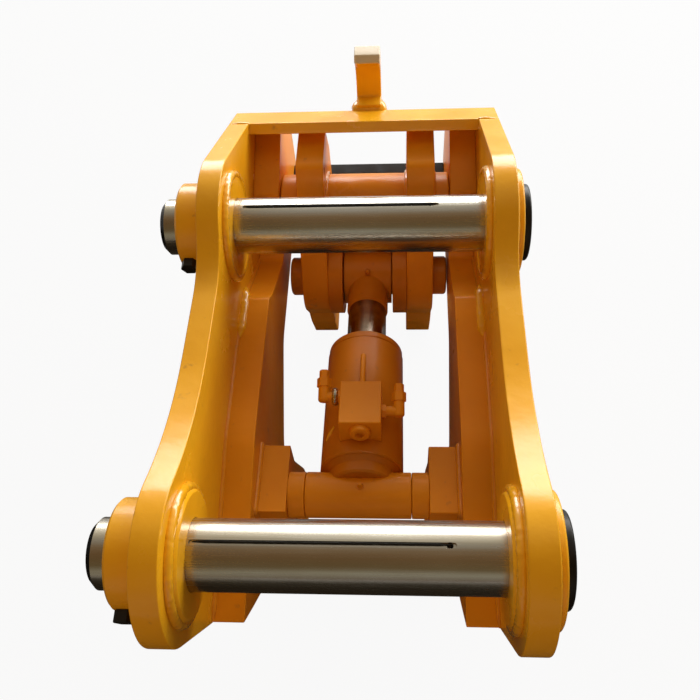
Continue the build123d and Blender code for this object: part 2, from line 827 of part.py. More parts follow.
# Valve block saddled on the barrel, with a plug in its front and a pipe out of its back
port_z = barrel_r + port_height
with BuildPart() as valve:
    with BuildSketch(across_axis(valve_start)):
        with Locations((0, barrel_r + (valve_h - valve_seat_depth) / 2)):
            Rectangle(valve_w, valve_h + valve_seat_depth)
    extrude(amount=valve_l)
    chamfer(valve.faces().sort_by(Axis.Z)[-1].edges(), 1)
    with BuildSketch(axis_plane):
        with BuildLine():
            Polyline(
                (valve_start - 5, 0), (valve_start - 5, barrel_r + weld_gap),
                (valve_start + valve_l + 5, barrel_r + weld_gap), (valve_start + valve_l + 5, 0),
                close=True,
            )
        make_face()
    revolve(axis=axis_line, mode=Mode.SUBTRACT)
    with BuildSketch(across_axis(valve_start)):
        with Locations((0, barrel_r + valve_h / 2)):
            Circle(plug_thread_r)
    extrude(amount=2 * plug_l, mode=Mode.SUBTRACT)
    for port_s, turn in ((left_port_s, -1), (right_port_s, 1)):
        with BuildSketch(axis_plane.offset(turn * valve_w / 2)):
            with Locations((port_s, port_z)):
                Circle(port_thread_r)
        extrude(amount=-turn * port_l, mode=Mode.SUBTRACT)
valve.part.label = "valve_block"
export_step(valve.part, "parts/valve_block.step")

with BuildPart() as plug:
    with BuildSketch(across_axis(valve_start - weld_gap)):
        with Locations((0, barrel_r + valve_h / 2)):
            Circle(plug_r)
    extrude(amount=-plug_l)
    chamfer(plug.edges().filter_by(GeomType.CIRCLE).sort_by(Axis.Y)[0], 2)
    with BuildSketch(across_axis(valve_start - weld_gap)):
        with Locations((0, barrel_r + valve_h / 2)):
            Circle(plug_thread_r - weld_gap)
    extrude(amount=2 * plug_l - 1)
    with BuildSketch(across_axis(valve_start - plug_l - weld_gap)):
        with Locations((0, barrel_r + valve_h / 2)):
            RegularPolygon(plug_socket_r, 6)
    extrude(amount=plug_l - 2, mode=Mode.SUBTRACT)
plug.part.label = "valve_plug"
export_step(plug.part, "parts/valve_plug.step")

with BuildPart() as pipe:
    pipe_z = barrel_r + pipe_r + weld_gap
    with BuildSketch(across_axis(valve_start + valve_l + weld_gap)):
        with Locations((0, pipe_z)):
            Circle(pipe_r)
    extrude(amount=pipe_l)
    fillet(pipe.edges().filter_by(GeomType.CIRCLE).sort_by(Axis.Y)[-1], pipe_r - 0.5)
pipe.part.label = "valve_pipe"
export_step(pipe.part, "parts/valve_pipe.step")

# Port elbows on both sides of the valve block, closed by cap nuts
for side, turn, port_s in (("left", -1, left_port_s), ("right", 1, right_port_s)):
    elbow_x = turn * (valve_w / 2 + port_l + elbow_r)
    elbow_up = (cos(radians(elbow_tilt)), sin(radians(elbow_tilt)))
    elbow_foot = axis_plane.from_local_coords(
        Vector(port_s - elbow_up[0] * elbow_r, port_z - elbow_up[1] * elbow_r, elbow_x)
    )
    elbow_dir = axis_plane.from_local_coords(Vector(*elbow_up, 0)) - axis_plane.origin
    elbow_plane = Plane(origin=elbow_foot, x_dir=(1, 0, 0), z_dir=elbow_dir)

    with BuildPart() as elbow:
        with BuildSketch(elbow_plane):
            Circle(elbow_r)
        extrude(amount=elbow_l)
        fillet(elbow.faces().sort_by(Axis(elbow_foot, elbow_dir))[0].edges(), elbow_r / 2)
        with BuildSketch(axis_plane.offset(elbow_x)):
            with Locations((port_s, port_z)):
                Circle(port_r)
        extrude(amount=-turn * (port_l + elbow_r - weld_gap))
        with BuildSketch(axis_plane.offset(turn * (valve_w / 2 + port_l / 2))):
            with Locations((port_s, port_z)):
                Circle(port_thread_r - weld_gap)
        extrude(amount=-turn * (port_l * 1.5 - 1))
        with BuildSketch(axis_plane.offset(turn * (valve_w / 2 + weld_gap))):
            with Locations((port_s, port_z)):
                RegularPolygon(port_nut_r, 6)
        extrude(amount=turn * port_nut_t)
    elbow.part.label = f"{side}_elbow"
    export_step(elbow.part, f"parts/{side}_elbow.step")

    with BuildPart() as cap_nut:
        with BuildSketch(elbow_plane.offset(elbow_l + weld_gap)):
            RegularPolygon(cap_nut_r, 6)
        extrude(amount=cap_nut_l)
        with BuildSketch(elbow_plane.offset(elbow_l + weld_gap + cap_nut_l)):
            RegularPolygon(cap_top_r, 6)
        extrude(amount=cap_top_l)
    cap_nut.part.label = f"{side}_cap_nut"
    export_step(cap_nut.part, f"parts/{side}_cap_nut.step")


def nipple(name, plane):
    """Grease nipple that stands on a round surface."""
    with BuildPart() as piece:
        with BuildSketch(plane):
            RegularPolygon(nipple_hex_r, 6)
        extrude(amount=nipple_h * 0.4)
        with BuildSketch(plane.offset(nipple_h * 0.4)):
            Circle(nipple_r)
        extrude(amount=nipple_h * 0.6, taper=15)
    piece.part.label = name
    export_step(piece.part, f"parts/{name}.step")


nipple("base_nipple", Plane(origin=(line_x, base[0], base[1] + base_tube_r), z_dir=(0, 0, 1)))

# Piston rod: its eye is bored larger than the rod pin, which takes up the linkage's error
eye_bore_r = rod_pin_d / 2 + open_pivot_gap
neck_end = axis_length - sqrt((eye_r + weld_gap) ** 2 - neck_r ** 2)
piston_end = piston_start + piston_l
turned(
    "piston_rod",
    ((piston_start - piston_stub_l, 0), (piston_start - piston_stub_l, piston_stub_r),
     (piston_end, piston_stub_r), (piston_end, rod_r), (rod_end - weld_gap, rod_r), (rod_end - weld_gap, 0)),
)
with BuildPart() as rod_eye:
    with BuildSketch(axis_plane):
        with Locations((axis_length, 0)):
            Circle(eye_r)
    extrude(amount=eye_w / 2, both=True)
    with BuildSketch(across_axis(rod_end)):
        Circle(neck_r)
    extrude(amount=axis_length - rod_end)
    chamfer(rod_eye.edges().filter_by(GeomType.CIRCLE).sort_by(axis_line)[0], 3)
    with BuildSketch(axis_plane):
        with Locations((axis_length, 0)):
            Circle(eye_bore_r + eye_bush_t + weld_gap)
    extrude(amount=eye_w, both=True, mode=Mode.SUBTRACT)
rod_eye.part.label = "rod_eye"
export_step(rod_eye.part, "parts/rod_eye.step")

eye_bush = ring("rod_eye_bush", rod_pin, line_x - eye_w / 2, eye_w, eye_bore_r + eye_bush_t, eye_bore_r, 0)
export_step(eye_bush, "parts/rod_eye_bush.step")

eye_out = on_circle((0, 0), 1, rod_nipple_angle)
eye_top = along(rod_pin, eye_out, eye_r)
nipple("rod_nipple", Plane(origin=(line_x, *eye_top), z_dir=(0, *eye_out)))

seal_start = piston_start + (piston_l - seal_w) / 2
turned(
    "piston",
    ((piston_start, piston_stub_r + weld_gap), (piston_start, bore_r - running_gap),
     (seal_start, bore_r - running_gap), (seal_start, bore_r - seal_depth),
     (seal_start + seal_w, bore_r - seal_depth), (seal_start + seal_w, bore_r - running_gap),
     (piston_end - weld_gap, bore_r - running_gap), (piston_end - weld_gap, piston_stub_r + weld_gap)),
)
turned(
    "piston_seal",
    ((seal_start + weld_gap, bore_r - seal_depth + weld_gap), (seal_start + weld_gap, bore_r - running_gap),
     (seal_start + seal_w - weld_gap, bore_r - running_gap),
     (seal_start + seal_w - weld_gap, bore_r - seal_depth + weld_gap)),
)
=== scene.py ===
import bpy
import json
import math
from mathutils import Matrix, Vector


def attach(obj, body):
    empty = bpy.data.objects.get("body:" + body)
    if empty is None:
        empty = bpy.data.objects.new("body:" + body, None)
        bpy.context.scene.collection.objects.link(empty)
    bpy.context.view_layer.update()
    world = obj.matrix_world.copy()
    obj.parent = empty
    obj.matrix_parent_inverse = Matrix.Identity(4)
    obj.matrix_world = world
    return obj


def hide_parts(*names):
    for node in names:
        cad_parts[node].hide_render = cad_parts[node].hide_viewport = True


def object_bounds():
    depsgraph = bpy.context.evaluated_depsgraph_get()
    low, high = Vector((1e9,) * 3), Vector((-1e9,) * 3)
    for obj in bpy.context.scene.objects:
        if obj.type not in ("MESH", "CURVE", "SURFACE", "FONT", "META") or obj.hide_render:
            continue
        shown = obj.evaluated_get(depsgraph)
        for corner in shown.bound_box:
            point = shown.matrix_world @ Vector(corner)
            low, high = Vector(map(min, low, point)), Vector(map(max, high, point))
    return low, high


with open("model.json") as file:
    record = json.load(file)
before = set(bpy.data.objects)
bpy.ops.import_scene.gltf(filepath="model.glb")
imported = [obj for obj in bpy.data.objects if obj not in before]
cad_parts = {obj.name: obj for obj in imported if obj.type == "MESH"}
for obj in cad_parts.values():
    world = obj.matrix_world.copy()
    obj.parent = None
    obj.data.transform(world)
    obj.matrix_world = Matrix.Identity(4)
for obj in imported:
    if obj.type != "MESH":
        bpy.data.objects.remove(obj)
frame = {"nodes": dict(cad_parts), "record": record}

# Excavator quick coupler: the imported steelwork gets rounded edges, paint, ground pins and weld beads
nodes = frame["nodes"]
slotOf = {part["node"]: part["material_slot"] for part in frame["record"]["subparts"]}
bodyOf = {node: body for body, members in frame["record"]["behaviour"]["bodies"].items() for node in members}
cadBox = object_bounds()
bpy.ops.object.select_all(action="DESELECT")
print("frame loaded:", len(nodes), "nodes")


# Camera of the photograph

view = {
    "place": (0.059317, -0.284371, 0.843331),
    "turn": (33.41044, 3.19265, 1.89539),
    "lens": 40.5178,
    "sensor": 36,
}
bpy.ops.object.camera_add(
    location=view["place"],
    rotation=[math.radians(a) for a in view["turn"]],
)
camera = bpy.context.object
camera.name = "photoCamera"
camera.data.lens = view["lens"]
camera.data.sensor_width = view["sensor"]
bpy.context.scene.camera = camera
bpy.context.scene.view_settings.view_transform = "Standard"


# Small helpers

def selectOnly(piece):
    bpy.ops.object.select_all(action="DESELECT")
    piece.select_set(True)
    bpy.context.view_layer.objects.active = piece


def applyModifiers(piece):
    selectOnly(piece)
    for modifier in list(piece.modifiers):
        bpy.ops.object.modifier_apply(modifier=modifier.name)


def editMesh(piece):
    selectOnly(piece)
    bpy.ops.object.mode_set(mode="EDIT")
    bpy.ops.mesh.select_all(action="SELECT")


def leaveEdit():
    bpy.ops.object.mode_set(mode="OBJECT")


def fixPlace(piece):
    selectOnly(piece)
    bpy.ops.object.transform_apply(location=True, rotation=True, scale=True)


# Materials

noiseSpan = (0.3, 0.7)     # most values of a noise texture lie in it


def startMaterial(name):
    material = bpy.data.materials.new(name)
    material.use_nodes = True
    tree = material.node_tree
    shader = tree.nodes["Principled BSDF"]
    place = tree.nodes.new("ShaderNodeTexCoord").outputs["Object"]
    return material, tree, shader, place


def addNoise(tree, place, scale, detail, stretch=(1, 1, 1)):
    mapping = tree.nodes.new("ShaderNodeMapping")
    mapping.inputs["Scale"].default_value = stretch
    tree.links.new(place, mapping.inputs["Vector"])
    noise = tree.nodes.new("ShaderNodeTexNoise")
    noise.inputs["Scale"].default_value = scale
    noise.inputs["Detail"].default_value = detail
    tree.links.new(mapping.outputs["Vector"], noise.inputs["Vector"])
    return noise.outputs["Fac"]


def addRamp(tree, source, stops):
    stops = tuple(stops)
    ramp = tree.nodes.new("ShaderNodeValToRGB")
    while len(ramp.color_ramp.elements) < len(stops):
        ramp.color_ramp.elements.new(0.5)
    for element, (position, colour) in zip(ramp.color_ramp.elements, stops):
        element.position = position
        element.color = (*colour, 1)
    tree.links.new(source, ramp.inputs["Fac"])
    return ramp.outputs["Color"]


def addRange(tree, source, low, high):
    spread = tree.nodes.new("ShaderNodeMapRange")
    spread.inputs["From Min"].default_value, spread.inputs["From Max"].default_value = noiseSpan
    spread.inputs["To Min"].default_value = low
    spread.inputs["To Max"].default_value = high
    tree.links.new(source, spread.inputs["Value"])
    return spread.outputs["Result"]


def addBump(tree, shader, source, distance, strength=1.0, after=None):
    bump = tree.nodes.new("ShaderNodeBump")
    bump.inputs["Distance"].default_value = distance
    bump.inputs["Strength"].default_value = strength
    tree.links.new(source, bump.inputs["Height"])
    if after:
        tree.links.new(after, bump.inputs["Normal"])
    tree.links.new(bump.outputs["Normal"], shader.inputs["Normal"])
    return bump.outputs["Normal"]


def blendColours(tree, factor, first, second):
    mix = tree.nodes.new("ShaderNodeMix")
    mix.data_type = "RGBA"
    tree.links.new(factor, mix.inputs[0])
    tree.links.new(first, mix.inputs[6])
    mix.inputs[7].default_value = (*second, 1)
    return mix.outputs[2]


def addMath(tree, kind, first, second):
    node = tree.nodes.new("ShaderNodeMath")
    node.operation = kind
    node.use_clamp = True
    for socket, value in zip(node.inputs, (first, second)):
        if isinstance(value, float):
            socket.default_value = value
        else:
            tree.links.new(value, socket)
    return node.outputs[0]


paint = {
    "outer": ((0.81, 0.375, 0.008), (0.88, 0.445, 0.012)),     # full coat, thin coat
    "inner": ((0.70, 0.245, 0.008), (0.80, 0.30, 0.011)),      # painted shade: parts inside the frame get this darker, redder copy of the paint
    # painted deeper shade: the cylinder and the hook parts deep inside get the darkest copy of the same paint
    "cylinder": ((0.52, 0.165, 0.007), (0.62, 0.21, 0.010)),
    "dirt": (0.24, 0.10, 0.03),
    "dirtScale": 60,
    "dirtEdges": (0.66, 0.80),
    "dirtShare": 0.5,
    "coat": {"outer": 0.14, "inner": 0.03, "cylinder": 0.02},
    "coatRoughness": 0.08,
    "beadCoat": 1.0,
    "roughness": {"outer": (0.18, 0.30), "inner": (0.26, 0.40), "cylinder": (0.28, 0.42)},
    "specular": {"outer": 0.42, "inner": 0.22, "cylinder": 0.25},
    "index": 1.5,
    "cloudScale": 9,
    "waveScale": 38,
    "waveDepth": 0.0007,
    "peelScale": 260,
    "peelDepth": 0.00008,
    "peelStrength": 0.8,
}


# kind picks a copy of the one paint: outer for the lit outside, while inner and cylinder are darker copies that
# paint in shade
def yellowPaint(name, lumps, kind="outer"):
    material, tree, shader, place = startMaterial(name)
    clouds = addNoise(tree, place, paint["cloudScale"], 6)
    colour = addRamp(tree, clouds, zip(noiseSpan, paint[kind]))
    specks = addNoise(tree, place, paint["dirtScale"], 8)
    dirtTones = ((0, 0, 0), (paint["dirtShare"],) * 3)
    dirt = addRamp(tree, specks, zip(paint["dirtEdges"], dirtTones))
    colour = blendColours(tree, dirt, colour, paint["dirt"])
    tree.links.new(colour, shader.inputs["Base Color"])
    low, high = paint["roughness"][kind]
    shader.inputs["Specular IOR Level"].default_value = paint["specular"][kind]
    tree.links.new(addRange(tree, clouds, low, high), shader.inputs["Roughness"])
    shader.inputs["Coat Weight"].default_value = paint["coat"][kind]
    shader.inputs["Coat Roughness"].default_value = paint["coatRoughness"]
    shader.inputs["IOR"].default_value = paint["index"]
    waves = addBump(tree, shader, addNoise(tree, place, paint["waveScale"], 3), paint["waveDepth"] * lumps)
    peel = addNoise(tree, place, paint["peelScale"], 2)
    addBump(tree, shader, peel, paint["peelDepth"], paint["peelStrength"], waves)
    return material


steel = {
    "colour": (0.60, 0.58, 0.53),
    "straw": (0.50, 0.45, 0.36),
    "black": (0.012, 0.012, 0.013),
    "blackEnd": -0.2735,                 # the chamfered end is blackened
    "roughness": (0.20, 0.30),
    "markScale": 30,
    "markStretch": (0.35, 14, 14),       # fine scratches along the pin
    "markDepth": 0.000003,
    "markStrength": 0.3,
    "strawScale": 7,
    "strawStretch": (0.6, 1.5, 1.5),
    "strawEdges": (0.35, 0.65),
}


def groundSteel(name):
    material, tree, shader, place = startMaterial(name)
    marks = addNoise(tree, place, steel["markScale"], 6, steel["markStretch"])
    clouds = addNoise(tree, place, steel["strawScale"], 5, steel["strawStretch"])
    colour = addRamp(tree, clouds, zip(steel["strawEdges"], (steel["straw"], steel["colour"])))
    split = tree.nodes.new("ShaderNodeSeparateXYZ")
    tree.links.new(place, split.inputs[0])
    end = tree.nodes.new("ShaderNodeMath")
    end.operation = "LESS_THAN"
    end.inputs[1].default_value = steel["blackEnd"]
    tree.links.new(split.outputs["X"], end.inputs[0])
    colour = blendColours(tree, end.outputs[0], colour, steel["black"])
    tree.links.new(colour, shader.inputs["Base Color"])
    low, high = steel["roughness"]
    tree.links.new(addRange(tree, marks, low, high), shader.inputs["Roughness"])
    shader.inputs["Metallic"].default_value = 1
    addBump(tree, shader, marks, steel["markDepth"], steel["markStrength"])
    return material


dark = {
    "blackenedSteel": {"colour": (0.012, 0.011, 0.010), "roughness": 0.36, "grain": 30},
    # painted shade: near-black for the shaded half of the pin grooves
    "grooveShadeBlack": {"colour": (0.010, 0.009, 0.007), "roughness": 0.5, "grain": 50},
    # painted shade: the tie plate behind the hook hub is painted near black for the deep shade it sits in
    "tieShadeBlack": {"colour": (0.008, 0.007, 0.006), "roughness": 0.7, "grain": 40, "metal": 0,
                       "specular": 0.15},
    "metal": 0.6,
    "specular": 0.5,
    "edges": (0.35, 0.75),
    "roughnessSpread": (0.8, 1.3),
    "grainDepth": 0.0001,
}


def darkMetal(name):
    values = dark[name]
    material, tree, shader, place = startMaterial(name)
    clouds = addNoise(tree, place, values["grain"], 6)
    lighter = tuple(1.6 * c + 0.01 for c in values["colour"])
    colour = addRamp(tree, clouds, zip(dark["edges"], (values["colour"], lighter)))
    tree.links.new(colour, shader.inputs["Base Color"])
    low, high = (values["roughness"] * share for share in dark["roughnessSpread"])
    tree.links.new(addRange(tree, clouds, low, high), shader.inputs["Roughness"])
    shader.inputs["Metallic"].default_value = values.get("metal", dark["metal"])
    shader.inputs["Specular IOR Level"].default_value = values.get("specular", dark["specular"])
    addBump(tree, shader, addNoise(tree, place, values["grain"] * 6, 3), dark["grainDepth"])
    return material


fittings = {
    # painted shade: the rod's chrome is made darker and browner than bare chrome
    "chromeDarkenedForShade": {"scale": 25, "detail": 5, "stretch": (1, 3, 3), "metal": 1, "roughness": (0.16, 0.26),
                   "colours": ((0.20, 0.15, 0.11), (0.30, 0.25, 0.20))},
    "castBronze": {"scale": 40, "detail": 6, "stretch": (1, 1, 1), "metal": 1, "roughness": (0.3, 0.5),
                   "colours": ((0.38, 0.22, 0.08), (0.60, 0.40, 0.18))},
    "sealRubber": {"scale": 300, "detail": 3, "stretch": (1, 1, 1), "metal": 0, "roughness": (0.7, 0.7),
                   "colours": ((0.012, 0.012, 0.012), (0.03, 0.03, 0.03)), "depth": 0.0001},
}


def fittingFinish(name):
    values = fittings[name]
    material, tree, shader, place = startMaterial(name)
    clouds = addNoise(tree, place, values["scale"], values["detail"], values["stretch"])
    colour = addRamp(tree, clouds, zip(noiseSpan, values["colours"]))
    tree.links.new(colour, shader.inputs["Base Color"])
    tree.links.new(addRange(tree, clouds, *values["roughness"]), shader.inputs["Roughness"])
    shader.inputs["Metallic"].default_value = values["metal"]
    if "depth" in values:
        addBump(tree, shader, clouds, values["depth"])
    return material


finishes = {
    "yellow_paint": yellowPaint("glossYellowPaint", 1.0),
    "pin_steel": groundSteel("groundPinSteel"),
    "black_steel": darkMetal("blackenedSteel"),
    "chrome_rod": fittingFinish("chromeDarkenedForShade"),
    "bronze_bush": fittingFinish("castBronze"),
    "seal_rubber": fittingFinish("sealRubber"),
}
beadPaint = yellowPaint("paintOverWelds", 2.0)
shadedInnerBeadPaint = yellowPaint("paintOverWeldsInShade", 2.0, "inner")
for finish in (beadPaint, shadedInnerBeadPaint):
    finish.node_tree.nodes["Principled BSDF"].inputs["Coat Weight"].default_value = paint["beadCoat"]
# Darker copies of the one paint stand for the shade inside the frame and around the cylinder: painted shade
shadedInnerPaint = yellowPaint("innerShadePaint", 1.0, "inner")
deepShadeCylinderPaint = yellowPaint("deepShadeCylinderPaint", 0.8, "cylinder")
# painted shade: the dark strip in the pin grooves
grooveShadeLine = darkMetal("grooveShadeBlack")
# painted shade: near-black paint on the tie plate stands in for the deep shade behind the hub
tieShadePaint = darkMetal("tieShadeBlack")

# Painted highlight: the top of the lifting hook's head is painted pale cream and rougher above a ragged height
noseHighlight = {
    "start": 0.0695,     # height above which the head is painted pale, a painted highlight
    "ragged": 0.006,
    "scale": 90,
    "colour": (0.66, 0.56, 0.40),
    "roughness": 0.42,
}


def headHighlightPaint(name):
    material = yellowPaint(name, 1.0)
    tree = material.node_tree
    shader = tree.nodes["Principled BSDF"]
    place = tree.nodes.new("ShaderNodeTexCoord").outputs["Object"]
    split = tree.nodes.new("ShaderNodeSeparateXYZ")
    tree.links.new(place, split.inputs[0])
    ragged = addMath(tree, "MULTIPLY", addNoise(tree, place, noseHighlight["scale"], 5), noseHighlight["ragged"])
    height = addMath(tree, "ADD", split.outputs["Z"], ragged)
    # mask of the painted highlight on the head
    highlit = addMath(tree, "GREATER_THAN", height, noseHighlight["start"])
    painted = shader.inputs["Base Color"].links[0].from_socket
    rough = shader.inputs["Roughness"].links[0].from_socket
    tree.links.new(blendColours(tree, highlit, painted, noseHighlight["colour"]), shader.inputs["Base Color"])
    flat = tree.nodes.new("ShaderNodeMix")
    tree.links.new(highlit, flat.inputs[0])
    tree.links.new(rough, flat.inputs[2])
    flat.inputs[3].default_value = noseHighlight["roughness"]
    tree.links.new(flat.outputs[0], shader.inputs["Roughness"])
    return material


noseHighlightPaint = headHighlightPaint("hookNoseHighlightPaint")
# Parts that sit in shade get the darker copies of the paint: painted shade
paintedShadeGroups = {
    "inner": [
        "left_side_plate", "right_side_plate", "left_jaw_block", "right_jaw_block", "left_base_spacer",
        "right_base_spacer", "cylinder_base_tube", "valve_block", "valve_pipe", "left_elbow", "right_elbow",
        "left_cap_nut", "right_cap_nut", "base_nipple", "left_hook_plate", "right_hook_plate", "hook_hub",
        "valve_plug",
    ],
    "cylinder": [
        "cylinder_barrel", "cylinder_end_cap", "cylinder_gland", "rod_eye", "rod_nipple", "hook_web",
        "left_rod_boss", "right_rod_boss", "rod_pin",
    ],
}
print("materials made:", len(finishes) + 7)


# Steelwork taken from the CAD nodes, with rounded edges

edges = {
    "heavy": 0.0018,     # flame cut plates
    "turned": 0.0010,    # pins, collars, cylinder
    "small": 0.0005,     # fittings
    "segments": 2,
    "angle": 28,         # degrees from which an edge is rounded
    "weld": 0.000005,
    "flat": 0.4,
    "faceWeight": 80,
}
plates = [
    "left_ear", "right_ear", "left_side_plate", "right_side_plate", "left_jaw_block", "right_jaw_block",
    "left_hook_plate", "right_hook_plate", "rear_deck", "lifting_hook", "hook_web", "tie_plate",
]
turned = [
    "arm_collar", "link_collar", "arm_outer_ring", "link_outer_ring", "left_arm_boss", "right_arm_boss",
    "left_link_boss", "right_link_boss", "left_rod_boss", "right_rod_boss", "hook_hub", "rod_eye",
    "cylinder_base_tube", "left_base_spacer", "right_base_spacer", "arm_pin_head", "link_pin_head",
    "left_pivot_retainer", "right_pivot_retainer", "valve_block", "cylinder_end_cap", "cylinder_gland",
    "arm_pin", "link_pin", "rod_pin",
]
small = [
    "arm_keeper_bolt", "link_keeper_bolt", "left_elbow", "right_elbow", "left_cap_nut", "right_cap_nut",
    "base_nipple", "rod_nipple", "valve_plug", "left_pivot_bolt", "right_pivot_bolt",
]


def finishFor(nodeName):
    if nodeName in paintedShadeGroups["inner"]:
        return shadedInnerPaint
    if nodeName == "tie_plate":
        return tieShadePaint
    if nodeName == "lifting_hook":
        return noseHighlightPaint
    return deepShadeCylinderPaint if nodeName in paintedShadeGroups["cylinder"] else finishes[slotOf[nodeName]]


def dressNode(nodeName, width):
    piece = bpy.data.objects.new("dressed_" + nodeName, nodes[nodeName].data.copy())
    bpy.context.scene.collection.objects.link(piece)
    editMesh(piece)
    bpy.ops.mesh.remove_doubles(threshold=edges["weld"])
    bpy.ops.mesh.customdata_custom_splitnormals_clear()
    bpy.ops.mesh.dissolve_limited(angle_limit=math.radians(edges["flat"]))
    leaveEdit()
    bevel = piece.modifiers.new("edges", "BEVEL")
    bevel.width = width
    bevel.segments = edges["segments"]
    bevel.limit_method = "ANGLE"
    bevel.angle_limit = math.radians(edges["angle"])
    bevel.use_clamp_overlap = True
    applyModifiers(piece)
    bpy.ops.object.shade_smooth()
    normals = piece.modifiers.new("faces", "WEIGHTED_NORMAL")
    normals.weight = edges["faceWeight"]
    applyModifiers(piece)
    piece.data.materials.clear()
    piece.data.materials.append(finishFor(nodeName))
    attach(piece, bodyOf[nodeName])
    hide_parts(nodeName)
    return piece


# The photograph shows the cross tube and its spacers stouter than the solids
stouter = {
    "nodes": ("cylinder_base_tube", "left_base_spacer", "right_base_spacer"),
    "share": (1, 1.06, 1.06),
    "centre": (0, 0.150, -0.185),
}
dressed = {}
for names, width in ((plates, edges["heavy"]), (turned, edges["turned"]), (small, edges["small"])):
    for nodeName in names:
        dressed[nodeName] = dressNode(nodeName, width)
for nodeName in stouter["nodes"]:
    editMesh(dressed[nodeName])
    bpy.ops.transform.resize(value=stouter["share"], center_override=stouter["centre"])
    leaveEdit()
for nodeName, node in nodes.items():
    if nodeName not in dressed:
        node.data.materials.clear()
        node.data.materials.append(finishFor(nodeName))
print("steelwork dressed:", len(dressed))


# Weld beads

bead = {
    "radius": 0.0042,
    "lump": 0.0050,
    "height": 0.0016,
    "step": 0.0022,
    "around": 10,
    "tip": 0.25,         # share of the thickness left at an end
    "taper": 0.014,      # how far from its end the bead is full
}
lumps = bpy.data.textures.new("weldLumps", "CLOUDS")
lumps.noise_scale = bead["lump"]


def finishBead(piece, body, thick, finish):
    displace = piece.modifiers.new("ripple", "DISPLACE")
    displace.texture = lumps
    displace.texture_coords = "LOCAL"
    displace.strength = bead["height"] * thick
    displace.mid_level = 0.5
    applyModifiers(piece)
    bpy.ops.object.shade_smooth()
    piece.data.materials.clear()
    piece.data.materials.append(finish)
    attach(piece, body)


def ringBead(name, x, centre, radius, body, thick=1.0, finish=beadPaint):
    bpy.ops.mesh.primitive_torus_add(
        major_segments=int(2 * math.pi * radius / bead["step"]),
        minor_segments=bead["around"],
        major_radius=radius,
        minor_radius=bead["radius"] * thick,
        location=(x, centre[0], centre[1]),
        rotation=(0, math.pi / 2, 0),
    )
    piece = bpy.context.object
    piece.name = name
    fixPlace(piece)
    finishBead(piece, body, thick, finish)


def lineBead(name, points, body, thick=1.0, finish=beadPaint):
    bpy.ops.curve.primitive_nurbs_path_add()
    piece = bpy.context.object
    piece.name = name
    piece.data.splines.clear()
    line = piece.data.splines.new("POLY")
    dense = []
    for start, end in zip(points, points[1:]):
        run = math.dist(start, end)
        steps = max(1, int(run / bead["step"]))
        dense += [[a + (b - a) * k / steps for a, b in zip(start, end)] for k in range(steps)]
    dense.append(list(points[-1]))
    line.points.add(len(dense) - 1)
    for point, place in zip(line.points, dense):
        point.co = (*place, 1)
        run = min(math.dist(place, points[0]), math.dist(place, points[-1]))
        point.radius = min(1, bead["tip"] + (1 - bead["tip"]) * run / bead["taper"])
    piece.data.bevel_depth = bead["radius"] * thick
    piece.data.bevel_resolution = 2
    piece.data.use_fill_caps = True
    bpy.ops.object.convert(target="MESH")
    piece = bpy.context.object
    fixPlace(piece)
    finishBead(piece, body, thick, finish)


# Lines are (Y, Z) at the given X, rings are about the given (Y, Z)
welds = {
    "pins": {"arm": (0.0, 0.0), "link": (0.486, 0.0)},
    "innerRing": {"x": 0.1790, "radius": 0.0740, "thick": 1.5},
    "outerRing": {"x": 0.2128, "radius": 0.0755},
    "collar": {"x": -0.2128, "radius": 0.0625, "thick": 0.8},
    "earSeam": {"x": 0.1802, "line": ((-0.031, -0.168), (0.10, -0.132), (0.20, -0.107), (0.432, -0.100),
                                      (0.455, -0.120), (0.585, -0.187))},
    "wide": {"x": 0.1775, "line": ((0.36, -0.102), (0.455, -0.104)), "thick": 2.0},
    "block": {"x": 0.139, "line": ((0.113, -0.295), (0.113, -0.155), (0.2115, -0.155), (0.2115, -0.205)),
              "thick": 1.2},
    "hub": {"inner": 0.0665, "outer": 0.1105, "middle": 0.003, "pivot": (0.655, -0.147), "radius": 0.061},
    "washer": {"x": -0.0335, "centre": (0.2710, -0.1207), "radius": 0.0085, "thick": 1.1},
    "bar": {"line": ((-0.0475, 0.2214, -0.1615), (-0.0360, 0.2395, -0.1500)), "thick": 0.9},
    "deck": {"line": ((0.2105, 0.6945, 0.0080), (0.1830, 0.6945, 0.0080), (0.1795, 0.6930, -0.0100)),
             "thick": 0.9},
    "foot": {"z": -0.024, "line": ((-0.012, 0.784), (-0.012, 0.759), (0.028, 0.759), (0.028, 0.784)),
             "thick": 2.1},
}
# A black strip lies in the groove along each top pin, painted shade for the groove's shaded far wall: Y, and
# where it starts and stops along X
grooveShade = {
    "arm": (0.0014, -0.165, 0.1135),
    "link": (0.4874, -0.159, 0.1085),
    "z": 0.0385,
    "thick": 0.32,
}


def sideLine(values, sign):
    return [(sign * values["x"], y, z) for y, z in values["line"]]


